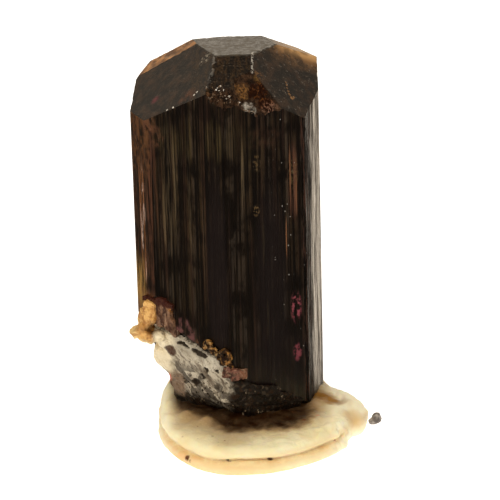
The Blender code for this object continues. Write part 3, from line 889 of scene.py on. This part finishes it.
def buildMatrix():
    look = matrixLook
    piece = finer("albiteMatrix", "albite_matrix", look["voxel"], 2, albiteFinish(), look["foot"])

    def change(points, normals):
        along, across = bladeAxes(points)
        axes = np.column_stack((along * 0.42, across * 1.5, points[:, 1] * 0.4))
        blades = folded(axes, 1.0, 3, 3)
        blades = np.round(blades * 3) / 3 * 0.7 + blades * 0.3
        grit = folded(points, 1.4, 8)
        front = np.clip(-1.3 * normals[:, 1], 0, 1)
        low = np.clip((points[:, 2] - 3.0) / 1.5, 0, 1)
        out = front * look["forward"] * low + look["bladeDepth"] * blades * (0.35 + 0.65 * low) + 0.15 * grit
        u = alongFront(points[:, 0], points[:, 1])
        for middle, halfLong, halfHigh, tilt, depth in look["slots"]:
            du = u - alongFront(*middle[:2])
            dv = points[:, 2] - middle[2]
            c, s = math.cos(math.radians(tilt)), math.sin(math.radians(tilt))
            gap = ((du * c + dv * s) / halfLong) ** 2 + ((dv * c - du * s) / halfHigh) ** 2
            out = out - depth * front * np.clip(1.4 - gap, 0, 1)
        moved = points + normals * out[:, None]
        x, y, z = moved.T
        under = np.clip(5.0 - z, 0, 2.0) * np.clip((-y - 6.0) / 3.0, 0, 1)
        near, far = look["footReach"]
        under = under * np.clip((far - x) / (far - near), 0, 1)
        moved[:, 1] += look["undercut"] * under  # the foot draws back under the front
        wall = np.interp(z, *zip(*look["leftWall"]))
        moved[:, 0] = np.maximum(x, wall + 0.12 * ripple(points, 1.2, 12))
        moved[:, 2] = np.maximum(z, points[:, 2].min() - 0.05)
        return moved

    reshape(piece, change, False)
    settle(piece, "albite", "albite_matrix")
    return piece


# ---- small pieces on the front

knobLumps = (
    ((-7.60, -3.75, 12.50), (0.70, 0.75, 0.72), -35, 12), ((-7.60, -3.85, 11.75), (0.62, 0.80, 0.70), -30, 8),
    ((-7.95, -3.5, 11.2), (0.70, 0.90, 0.75), -25), ((-8.25, -3.3, 10.5), (0.75, 1.00, 0.65), -20),
    ((-8.65, -3.2, 9.90), (0.90, 1.10, 0.60), 0), ((-9.30, -2.9, 9.60), (0.50, 0.90, 0.45), 0, -20),
    ((-7.95, -3.9, 9.75), (0.95, 0.80, 0.50), -35, 18), ((-8.35, -3.5, 9.35), (1.10, 1.00, 0.42), -20),
    ((-8.4, -1.8, 10.6), (0.75, 1.40, 1.50), 0), ((-7.15, -4.45, 9.80), (0.60, 0.60, 0.60), -40),
)
micaLumps = (
    ((-6.75, -4.50, 12.35), (0.70, 0.42, 1.05), -41, 5), ((-6.05, -5.05, 12.2), (0.55, 0.40, 1.10), -41, -4),
    ((-6.35, -4.80, 11.35), (0.75, 0.50, 0.60), -41), ((-5.75, -5.35, 11.2), (0.45, 0.40, 0.65), -41, 12),
    ((-6.95, -4.35, 11.25), (0.55, 0.45, 0.65), -41), ((-5.40, -5.45, 10.5), (0.50, 0.50, 0.60), -41),
    ((-7.95, -3.50, 13.35), (0.55, 0.45, 0.22), -35, 6), ((-7.35, -4.00, 13.3), (0.60, 0.40, 0.28), -41, 8),
    ((-6.55, -4.70, 13.55), (0.60, 0.42, 0.30), -41, -6), ((-5.8, -5.35, 13.25), (0.55, 0.38, 0.30), -41, 10),
)
tabLumps = (
    ((-0.35, -10.35, 7.90), (0.40, 0.20, 0.50), -35, 4), ((0.35, -10.75, 7.80), (0.42, 0.18, 0.56), 8, -5),
    ((1.10, -10.40, 7.75), (0.50, 0.20, 0.54), 27.5, 3), ((-0.05, -10.55, 8.45), (0.35, 0.20, 0.18), 0, 12),
    ((1.35, -10.30, 8.00), (0.24, 0.22, 0.24), 27.5),
)
gritLumps = (
    ((14.20, -8.75, 2.10), (0.50, 0.50, 0.62), 20), ((14.00, -8.55, 1.75), (0.45, 0.45, 0.40), 0),
    ((13.75, -8.60, 1.70), (0.35, 0.40, 0.30), 0),
)
rustLook = {
    # rings: middle, radius, thickness of the wall
    "rings": (((-2.10, -8.95, 10.32), 0.34, 0.25), ((-0.50, -10.32, 9.72), 0.42, 0.30),
              ((-1.55, -9.40, 9.80), 0.24, 0.24), ((-1.02, -9.85, 9.35), 0.26, 0.24)),
    "bits": (((-1.80, -9.22, 9.85), 0.28), ((-1.25, -9.70, 9.62), 0.30), ((-0.75, -10.15, 9.25), 0.30),
             ((-0.15, -10.60, 9.10), 0.28), ((-0.45, -10.32, 8.90), 0.30), ((0.05, -10.75, 8.75), 0.26),
             ((-2.45, -8.70, 9.95), 0.24), ((-0.02, -10.75, 9.50), 0.24), ((-0.85, -9.95, 8.75), 0.30)),
}


def knobFinish():
    p = Paint("stainedFeldspar", IOR=1.53)
    grain = p.noise(1.2, 4, 0.6)
    layers = p.noise(1.6, 3, 0.6, p.stretch(0.4, 0.4, 1.4))
    p.ground((0.38, 0.16, 0.034), (0.72, 0.42, 0.135), grain.step(0.36, 0.60))
    p.lay((0.86, 0.64, 0.30), (1 - (p.x + layers).step(-9.3, -8.3)) * 0.8)
    p.lay((0.46, 0.22, 0.060), layers.step(0.50, 0.58) * 0.75)
    p.lay((0.87, 0.72, 0.42), (1 - (p.z + layers * 0.5).step(9.3, 9.8)) * 0.75)
    shaken = p.shaken(1.0, 0.4)
    # painted shade in the hollow at the knob's right, dark brown
    hollow = p.near((-7.3, -4.7, 10.4), 0.50, 1.20, shaken)
    hollow = hollow.most(p.near((-8.0, -4.3, 10.3), 0.2, 0.80, shaken))
    p.lay((0.060, 0.022, 0.0045), hollow * 0.93)
    p.lay((0.85, 0.74, 0.52), p.near((-7.0, -4.8, 9.65), 0.4, 1.0))
    p.lay((0.16, 0.06, 0.02), (1 - grain.step(0.30, 0.38)) * 0.6)
    bump = p.bump(p.noise(4, 4, 0.6), 0.08, p.bump(grain, 0.3))
    return p.apply(Roughness=0.45 + grain * 0.3, Normal=bump)


def micaFinish():
    p = Paint("lepidolite", IOR=1.55)
    grain = p.noise(1.4, 4, 0.65, p.stretch(1, 1, 0.5))
    fine = p.noise(5, 3, 0.6, p.stretch(1, 1, 0.3))
    p.ground((0.050, 0.018, 0.010), (0.25, 0.130, 0.070), grain.step(0.38, 0.60))
    p.lay((0.38, 0.24, 0.15), fine.step(0.54, 0.66) * 0.6)
    p.lay((0.30, 0.12, 0.020), p.near((-5.6, -5.5, 13.0), 0.2, 0.7) * grain.step(0.4, 0.5))
    rim = (p.z + p.noise(1.8, 3) * 0.6).step(13.25, 13.5)
    p.lay((0.045, 0.0085, 0.0045), rim * 0.95)
    bump = p.bump(fine, 0.10, p.bump(grain, 0.2))
    return p.apply(Roughness=0.25 + fine * 0.25, Normal=bump)


def tabFinish():
    p = Paint("lepidoliteTabFinish", IOR=1.55)
    grain = p.noise(1.8, 4, 0.65)
    fine = p.noise(4.0, 4, 0.65)
    p.ground((0.040, 0.016, 0.010), (0.19, 0.075, 0.048), grain.step(0.40, 0.58))
    p.lay((0.21, 0.088, 0.038), p.x.step(0.5, 1.3) * grain.step(0.42, 0.52) * 0.7)
    p.lay((0.34, 0.24, 0.14), fine.step(0.56, 0.64) * 0.6)
    return p.apply(Roughness=0.30 + grain * 0.2, Normal=p.bump(grain, 0.1))


def rustFinish():
    p = Paint("rustRings", IOR=1.6)
    grain = p.noise(2.2, 4, 0.65)
    p.ground((0.014, 0.005, 0.002), (0.28, 0.125, 0.022), grain.step(0.47, 0.61))
    p.lay((0.46, 0.30, 0.12), p.noise(3.4, 4, 0.65).step(0.54, 0.62) * (1 - p.x.step(-1.4, -0.8)) * 0.6)
    # painted shade inside each ring, near black at its middle
    for middle, radius, _ in rustLook["rings"]:
        p.lay((0.006, 0.003, 0.002), p.near(middle, radius * 0.45, radius * 0.85) * 0.9)
    return p.apply(Roughness=0.25 + grain * 0.3, Normal=p.bump(grain, 0.12))


def gritFinish():
    p = Paint("gritChip", IOR=1.5)
    grain = p.noise(2.0, 4, 0.6)
    p.ground((0.12, 0.10, 0.09), (0.42, 0.38, 0.34), grain.step(0.35, 0.65))
    return p.apply(Roughness=0.5 + grain * 0.3, Normal=p.bump(grain, 0.2))


def roughen(piece, depth, scale):
    def change(points, normals):
        return points + normals * (depth * folded(points, scale, 4))[:, None]

    reshape(piece, change, False)


def rustBubbles():
    bubbles = [(middle, (size,) * 3, 0) for middle, size in rustLook["bits"]]
    for middle, radius, wall in rustLook["rings"]:
        for k in range(12):
            turn = math.radians(30 * k)
            way = Vector((0.751 * math.cos(turn), -0.66 * math.cos(turn), math.sin(turn)))
            bubbles.append((Vector(middle) + way * radius, (wall,) * 3, 0))
    return bubbles


def buildTrim():
    # name, lumps, voxel, finish, depth and scale of each roughness, slot, node
    rows = (
        ("stainedKnob", knobLumps, 0.11, knobFinish, ((0.22, 1.1), (0.09, 3.0)),
         "stained_feldspar", "stained_knob"),
        ("lepidolitePatch", micaLumps, 0.08, micaFinish, ((0.12, 1.8),), "lepidolite", "lepidolite_patch"),
        ("lepidoliteTab", tabLumps, 0.06, tabFinish, ((0.16, 1.8),), "lepidolite", "lepidolite_tab"),
        ("rustRings", rustBubbles(), 0.055, rustFinish, ((0.12, 2.2),), "rust", "rust_crust"),
        ("gritChip", gritLumps, 0.06, gritFinish, ((0.10, 1.6),), "grit", "grit_chip"),
    )
    for name, parts, voxel, finish, roughness, slot, node in rows:
        piece = lumps(name, parts, voxel, 1, finish())
        for depth, scale in roughness:
            roughen(piece, depth, scale)
        settle(piece, slot, node)


# ---- the putty

puttyLook = {
    "voxel": 0.16,
    "creaseHeight": 1.47,
    "creaseDepth": 0.30,
    "creaseWidth": 0.15,
    "lip": 0.20,
    "closeUp": 0.50,  # rise of the top against the crystal
    "ridges": (((-2.4, -10.0), 1.3, 0.45), ((-4.6, -8.4), 0.9, 0.3), ((3.4, -10.6), 1.5, 0.22),
               ((-6.3, -8.5), 1.2, 0.2), ((8.3, -10.5), 1.4, 0.25)),
    "specks": (((-4.41, -15.13, 1.06), 0.42), ((-0.3, -16.9, 1.45), 0.45), ((3.56, -16.84, 1.50), 0.40),
               ((0.7, -17.2, 1.2), 0.30), ((-4.0, -15.5, 0.9), 0.28), ((-4.7, -15.0, 1.3), 0.25),
               ((-4.9, -13.2, 2.6), 0.22), ((-1.9, -13.9, 2.9), 0.25), ((7.0, -10.4, 2.9), 0.35)),
    "pinkSpecks": (((8.41, -9.57, 2.75), 0.35), ((9.94, -12.66, 1.5), 0.30), ((8.0, -10.2, 2.75), 0.2)),
    "torn": (10.6, -12.2, 2.0),
    "swollen": (12.8, -9.2, 1.0),
    "tornReach": (11.0, 11.7, 0.42, -5.0),  # x where the lower fold ends, how far it goes back, from what y
    "stainAndShadowPool": (-0.65, 4.5, 4.0),  # middle and half length along the right face, reach before it
}


def beyondCrystal(x, y, most):  # mm outside the crystal's walls
    gap = None
    for name in ("frontLeft", "frontRight", "rightStrip", "rightBack", "leftStrip", "leftSide"):
        angle, far, _ = crystal["faces"][name]
        out = wayOut(angle)
        reach = x * float(out[0]) + y * float(out[1]) - far
        gap = reach if gap is None else most(gap, reach)
    return gap


def puttyFinish():
    look = puttyLook
    p = Paint("putty", IOR=1.46, Subsurface_Weight=0.30, Subsurface_Scale=0.0010,
              Subsurface_Radius=(1.0, 0.60, 0.22))
    broad = p.noise(0.35, 3, 0.5)
    blot = p.noise(0.9, 4, 0.6)
    fine = p.noise(2.4, 4, 0.6)
    p.ground((0.90, 0.79, 0.48), (0.96, 0.89, 0.62), broad.step(0.3, 0.7))
    low = 1 - (p.z + blot * 0.3).step(1.25, 1.75)
    p.lay((0.80, 0.58, 0.29), low * (0.75 - p.x.step(0.0, 7.0) * 0.35))
    p.lay((0.88, 0.52, 0.25), p.near((-4.8, -14.6, 0.9), 0.6, 2.6) * low * blot.step(0.4, 0.6) * 0.6)
    # painted shade along the crease, in the putty's orange-brown tint there
    side = (p.z - look["creaseHeight"] - (1 - ((p.x - 0.7) / 3.2).size().least(1)) * 0.25).size()
    crease = 1 - side.step(0.05, 0.45)
    outside = 1 - p.z.step(2.2, 2.4)
    p.lay((0.74, 0.47, 0.19), crease * outside * blot.step(0.35, 0.6) * 0.75)
    # painted light: both ends of the pad made paler, the left most
    p.lay((0.98, 0.94, 0.74), (1 - (p.x + blot * 2.0).step(-7.5, -4.0)) * 0.8)
    p.lay((0.985, 0.93, 0.70), p.x.step(8.6, 11.0) * 0.9)
    # painted shade: the side wall below the lip made darker
    p.lay((0.82, 0.66, 0.38), p.window(p.z, 1.45, 2.15, 0.2) * p.x.step(-7.0, -4.0) * 0.7)
    gap = beyondCrystal(p.x, p.y, lambda a, b: a.most(b))
    top = p.z.step(2.0, 2.5) * p.x.step(-6.6, -5.0)
    ahead = p.x.step(-3.4, 0.8) + (blot - 0.5) * 1.6
    # brown stain with the crystal's painted shadow, spread over the top before its walls
    stainAndShadow = (1 - (gap - ahead * 0.6).step(0.5, 6.0)) * 0.85
    stainAndShadow = stainAndShadow * top * (1 - p.x.step(8.0, 10.5))
    # a pool of brown stain soaked into the top before the right face, with the crystal's painted shadow
    along = p.x * 0.887 + p.y * 0.462
    before = (p.x * 0.462 - p.y * 0.887 - 9.47).most(0.0)
    middle, half, reach = look["stainAndShadowPool"]
    stainAndShadowPool = ((along - middle) / half) ** 2.0 + (before / reach) ** 2.0 + (blot - 0.5) * 0.8
    stainAndShadow = stainAndShadow.most((1 - stainAndShadowPool.step(0.85, 1.75)) * top * 0.8)
    p.lay((0.27, 0.130, 0.040), stainAndShadow * (0.80 + fine * 0.4).least(1))
    # darkest near the walls: painted contact shadow over the stain
    dark = (1 - (gap - ahead * 1.3).step(0.10, 1.9)) * (1 - p.x.step(7.0, 8.6))
    dark = dark.most(1 - stainAndShadowPool.step(0.45, 1.25)) * top
    p.lay((0.018, 0.0055, 0.0012), dark * (1.0 - blot.step(0.35, 0.60) * 0.10))
    shaken = p.shaken(0.8, 0.2)
    hollow = p.near((9.0, -4.6, 2.75), 0.8, 2.1, shaken).most(p.near((9.8, -5.3, 2.7), 0.6, 1.9, shaken))
    p.lay((0.30, 0.135, 0.016), hollow * 0.95)
    crumb = p.cellTone(1.5).step(0.86, 0.88)
    crumb = crumb * (1 - p.cells(1.5).step(0.07, 0.20)) * (1 - gap.step(3.5, 6.0)) * top
    p.lay((0.20, 0.085, 0.040), crumb * 0.7)
    # painted shade under the right lobe, orange
    p.lay((0.62, 0.38, 0.12), p.near((11.6, -8.6, 2.0), 0.4, 1.8) * 0.6)
    for spots, tone in ((look["specks"], (0.12, 0.035, 0.010)), (look["pinkSpecks"], (0.62, 0.26, 0.16))):
        for middle, size in spots:
            p.lay(tone, p.near(middle, size * 0.4, size) * fine.step(0.3, 0.5))
    bump = p.bump(fine, 0.05, p.bump(blot, 0.12))
    return p.apply(Roughness=0.38 + fine * 0.2, Normal=bump)


def buildPutty():
    look = puttyLook
    finish = puttyFinish()
    first = finer("puttyFirst", "putty_mount", look["voxel"], 1, finish)
    start, end, share, line = look["tornReach"]

    def pullBack(points, normals):  # the torn end of the lower fold stands before the roll
        along = np.clip((points[:, 0] - start) / (end - start), 0, 1)
        along = along * along * (3 - 2 * along) * share
        moved = points.copy()
        moved[:, 1] = np.where(points[:, 1] < line, line + (points[:, 1] - line) * (1 - along), points[:, 1])
        return moved

    reshape(first, pullBack)
    body = bmesh.new()
    body.from_mesh(first.data)
    bpy.data.objects.remove(first)
    piece = refine("puttyMount", body, look["voxel"], 3, finish)

    def change(points, normals):
        x, y, z = points.T
        lift = np.clip(z / 0.5, 0, 1)
        steep = np.clip(1.3 - np.abs(normals[:, 2]) * 1.3, 0, 1)
        line = look["creaseHeight"] + 0.10 * ripple(points * (1, 1, 0), 0.35, 6)
        line = line + 0.25 * np.clip(1 - np.abs(x - 0.7) / 3.2, 0, 1)
        crease = np.exp(-((z - line) / look["creaseWidth"]) ** 2) * np.clip((start + 0.6 - x) / 0.6, 0, 1)
        lip = np.exp(-((z - line - 0.45) / 0.28) ** 2)
        out = steep * (look["lip"] * lip - look["creaseDepth"] * crease)
        out += 0.09 * lift * folded(points, 0.45, 2, 2) + 0.08 * lift * folded(points, 1.3, 5, 2)
        swollen = np.linalg.norm(points - look["swollen"], axis=1)
        out += 0.45 * np.clip(1 - swollen / 2.0, 0, 1)
        out += 0.16 * lift * np.clip((x - 9.0) / 2.0, 0, 1) * folded(points, 0.75, 11, 2)
        gone = np.linalg.norm(points - look["torn"], axis=1)
        ragged = 0.55 * ripple(points, 1.1, 3) + 0.3 * ripple(points, 2.6, 4)
        out += np.clip(1 - gone / 2.6, 0, 1) * ragged * lift
        up = np.clip(normals[:, 2], 0, 1) * np.clip((z - 2.0) / 0.5, 0, 1)
        gap = beyondCrystal(x, y, np.maximum)
        rise = look["closeUp"] * np.clip(1 - gap / 1.6, 0, 1) * (0.8 + 0.4 * ripple(points, 0.9, 7))
        for (mx, my), wide, high in look["ridges"]:
            rise += high * np.exp(-((x - mx) ** 2 + (y - my) ** 2) / (wide * 0.7) ** 2)
        rise += 0.12 * folded(points * (1, 1, 0), 0.8, 9, 2)
        right = np.clip((x - 5.0) / 3.0, 0, 1)
        rise += right * (0.30 * folded(points * (1, 1, 0), 0.55, 14, 3) + 0.10 * ripple(points, 2.4, 2))
        moved = points + normals * out[:, None]
        moved[:, 2] += rise * up
        moved[:, 2] = np.maximum(moved[:, 2], 0)
        return moved

    reshape(piece, change)
    settle(piece, "putty", "putty_mount")


# ---- small grains strewn over the rough places, with Geometry Nodes

grainLook = {
    # per mm2, least and most radius in mm, seed
    "footGrains": {"Density": 2.2, "Least": 0.03, "Most": 0.17, "Seed": 4},
    "tipCrumbs": {"Density": 7.0, "Least": 0.03, "Most": 0.15, "Seed": 9},
    "footBox": ((-5.0, -12.0, 3.1), (6.6, -5.8, 6.0)),
    "crumbSpots": (((-0.9, -8.5, 35.6), 1.0), ((-0.2, -8.9, 35.3), 1.0), ((0.2, -9.5, 34.8), 0.55),
                   ((-1.2, -8.2, 36.2), 0.6), ((1.2, -9.3, 34.2), 0.6), ((2.4, -9.0, 33.8), 0.8)),
}


def grainTree():
    tree = bpy.data.node_groups.new("strewnGrains", "GeometryNodeTree")
    sockets = {}
    for name, kind in (("Surface", "Geometry"), ("Density", "Float"), ("Least", "Float"), ("Most", "Float"),
                       ("Seed", "Int"), ("Finish", "Material")):
        made = tree.interface.new_socket(name, in_out="INPUT", socket_type="NodeSocket" + kind)
        sockets[name] = made.identifier
    tree.interface.new_socket("Grains", in_out="OUTPUT", socket_type="NodeSocketGeometry")

    def add(kind, **settings):
        node = tree.nodes.new(kind)
        for key, value in settings.items():
            setattr(node, key, value)
        return node

    def join(start, output, end, entry):
        tree.links.new(start.outputs[output], end.inputs[entry])

    given, result = add("NodeGroupInput"), add("NodeGroupOutput")
    strew = add("GeometryNodeDistributePointsOnFaces")
    grain = add("GeometryNodeMeshIcoSphere")
    grain.inputs["Radius"].default_value = 1.0
    grain.inputs["Subdivisions"].default_value = 1
    place = add("GeometryNodeInstanceOnPoints")
    turn, size = (add("FunctionNodeRandomValue", data_type="FLOAT_VECTOR") for _ in range(2))
    turn.inputs[1].default_value = (6.3, 6.3, 6.3)
    low, high = add("ShaderNodeCombineXYZ"), add("ShaderNodeCombineXYZ")
    real, paint = add("GeometryNodeRealizeInstances"), add("GeometryNodeSetMaterial")
    for axis in range(3):
        join(given, "Least", low, axis)
        join(given, "Most", high, axis)
    for row in ((low, 0, size, 0), (high, 0, size, 1), (given, "Seed", size, "Seed"),
                (given, "Seed", turn, "Seed"), (given, "Surface", strew, "Mesh"),
                (given, "Density", strew, "Density"), (given, "Seed", strew, "Seed"),
                (strew, "Points", place, "Points"), (grain, "Mesh", place, "Instance"),
                (turn, 0, place, "Rotation"), (size, 0, place, "Scale"), (place, 0, real, 0),
                (real, 0, paint, 0), (given, "Finish", paint, "Material"), (paint, 0, result, 0)):
        join(*row)
    return tree, sockets


def strewGrains(name, source, keep, slot, material):
    body = bmesh.new()
    body.from_mesh(source.data)
    gone = [face for face in body.faces if not keep(face.calc_center_median() / mm, face.normal)]
    bmesh.ops.delete(body, geom=gone, context="FACES")
    piece = fromBody(name, body)
    tree, sockets = grainTree()
    strewn = piece.modifiers.new("strewnGrains", "NODES")
    strewn.node_group = tree
    look = grainLook[name]
    values = {"Density": look["Density"] / mm ** 2, "Least": look["Least"] * mm, "Most": look["Most"] * mm,
              "Seed": look["Seed"], "Finish": material}
    for key, value in values.items():
        strewn[sockets[key]] = value
    keepShape(piece, name)
    settle(piece, slot)


def grainFinish(name, dark, pale):
    p = Paint(name, IOR=1.53)
    tone = p.noise(1.7, 3, 0.6)
    p.ground(dark, pale, tone.step(0.50, 0.64))
    return p.apply(Roughness=0.35 + tone * 0.3, Normal=p.bump(p.noise(6.0, 3), 0.03))


def buildGrains(crystalPiece, matrixPiece):
    low, high = grainLook["footBox"]

    def onFoot(spot, normal):
        return all(a < value < b for a, value, b in zip(low, spot, high)) and normal.y < -0.2

    def inPit(spot, normal):
        return any((spot - Vector(middle)).length < reach for middle, reach in grainLook["crumbSpots"])

    foot = grainFinish("footGrainFinish", (0.016, 0.009, 0.005), (0.26, 0.20, 0.13))
    crumbs = grainFinish("tipCrumbFinish", (0.16, 0.10, 0.06), (0.62, 0.58, 0.52))
    strewGrains("footGrains", matrixPiece, onFoot, "albite", foot)
    strewGrains("tipCrumbs", crystalPiece, inPit, "tourmaline", crumbs)


# ---- camera, light and floor

view = {
    "place": (0.00216832, -0.23641170, 0.09429497),
    "aim": (0.00216832, 0.0, 0.01699007),
    "roll": -1.497,
    "lens": 179.0855,
    "sensor": 36.0,
    "nearest": 0.01,  # m
}


def buildView():
    data = bpy.data.cameras.new("studioCamera")
    data.sensor_width = view["sensor"]
    data.lens = view["lens"]
    data.clip_start = view["nearest"]
    camera = bpy.data.objects.new("studioCamera", data)
    scene.collection.objects.link(camera)
    place, aim = Vector(view["place"]), Vector(view["aim"])
    turn = (aim - place).to_track_quat("-Z", "Y").to_matrix().to_4x4()
    turn = turn @ Matrix.Rotation(math.radians(view["roll"]), 4, "Z")
    camera.matrix_world = Matrix.Translation(place) @ turn
    scene.camera = camera


studio = {
    "dim": 0.050,
    "overhead": 0.07,
    # soft bright parts of the room: way, where each starts and is full, strength
    "glows": (((0.05, 0.95, 0.31), 0.90, 0.99, 1.02), ((0.50, 0.81, -0.31), 0.87, 0.98, 3.7),
              ((-0.58, 0.74, 0.35), 0.86, 0.98, 0.16), ((0.69, 0.57, 0.45), 0.86, 0.98, 0.13)),
    "lamps": (  # place in m, size in m, watts, colour
        ((-0.25, -0.45, 0.55), 0.35, 2.2, (1.0, 0.90, 0.76)),
        ((0.35, -0.35, 0.45), 0.30, 1.2, (1.0, 0.91, 0.78)),
        ((0.05, 0.10, 0.70), 0.40, 1.4, (1.0, 0.93, 0.82)),
        ((-0.50, -0.16, 0.22), 0.30, 0.7, (1.0, 0.92, 0.76)),
    ),
    "lampAim": (0.0, 0.0, 0.01),
    "roomColour": (1.0, 0.87, 0.70, 1.0),
    "floorGlow": 0.82,
    "floorHalf": 1.2,  # m
}


def buildStudio():
    world = bpy.data.worlds.new("studioWorld")
    scene.world = world
    world.use_nodes = True
    sky = Nodes(world.node_tree)
    way = sky.node("TexCoord", {}, {}, "Generated")
    height = sky.node("SeparateXYZ", {}, [way], "Z")
    level = studio["dim"] + height.step(0.0, 1.0) * studio["overhead"]
    for towards, start, full, strength in studio["glows"]:
        facing = sky.node("VectorMath", {"operation": "DOT_PRODUCT"}, [way, towards], 1)
        level = level + facing.step(start, full) * strength
    background = world.node_tree.nodes["Background"]
    background.inputs["Color"].default_value = studio["roomColour"]
    sky.link(level, background, "Strength")
    for i, (place, size, power, colour) in enumerate(studio["lamps"]):
        data = bpy.data.lights.new("lamp%d" % i, "AREA")
        data.shape = "DISK"
        data.size = size
        data.energy = power
        data.color = colour
        lamp = bpy.data.objects.new("lamp%d" % i, data)
        scene.collection.objects.link(lamp)
        lamp.location = place
        lamp.rotation_euler = (Vector(studio["lampAim"]) - Vector(place)).to_track_quat("-Z", "Y").to_euler()
        lamp.visible_glossy = False
    scene.view_settings.view_transform = "Standard"


def buildFloor():
    p = Paint("paleFloor", Roughness=0.9, Emission_Strength=studio["floorGlow"])
    p.shader.inputs["Emission Color"].default_value = (1.0, 1.0, 1.0, 1.0)
    p.ground((0.90, 0.90, 0.90), (0.93, 0.93, 0.93), p.noise(0.02, 2))
    material = p.apply()
    half = studio["floorHalf"]
    corners = [(-half, -half, 0), (half, -half, 0), (half, half, 0), (-half, half, 0)]
    floor = meshPiece("floor", corners, [(0, 1, 2, 3)], [material])
    floor.visible_glossy = False


print("crystal")
crystalPiece = buildCrystal([prismFinish(), tipFinish(), pitFinish(), baseFinish(), edgeFinish()])
settle(crystalPiece, "tourmaline", "tourmaline_crystal")
print("matrix")
matrixPiece = buildMatrix()
print("trim")
buildTrim()
print("grains")
buildGrains(crystalPiece, matrixPiece)
print("putty")
buildPutty()
print("studio")
buildView()
buildStudio()
buildFloor()
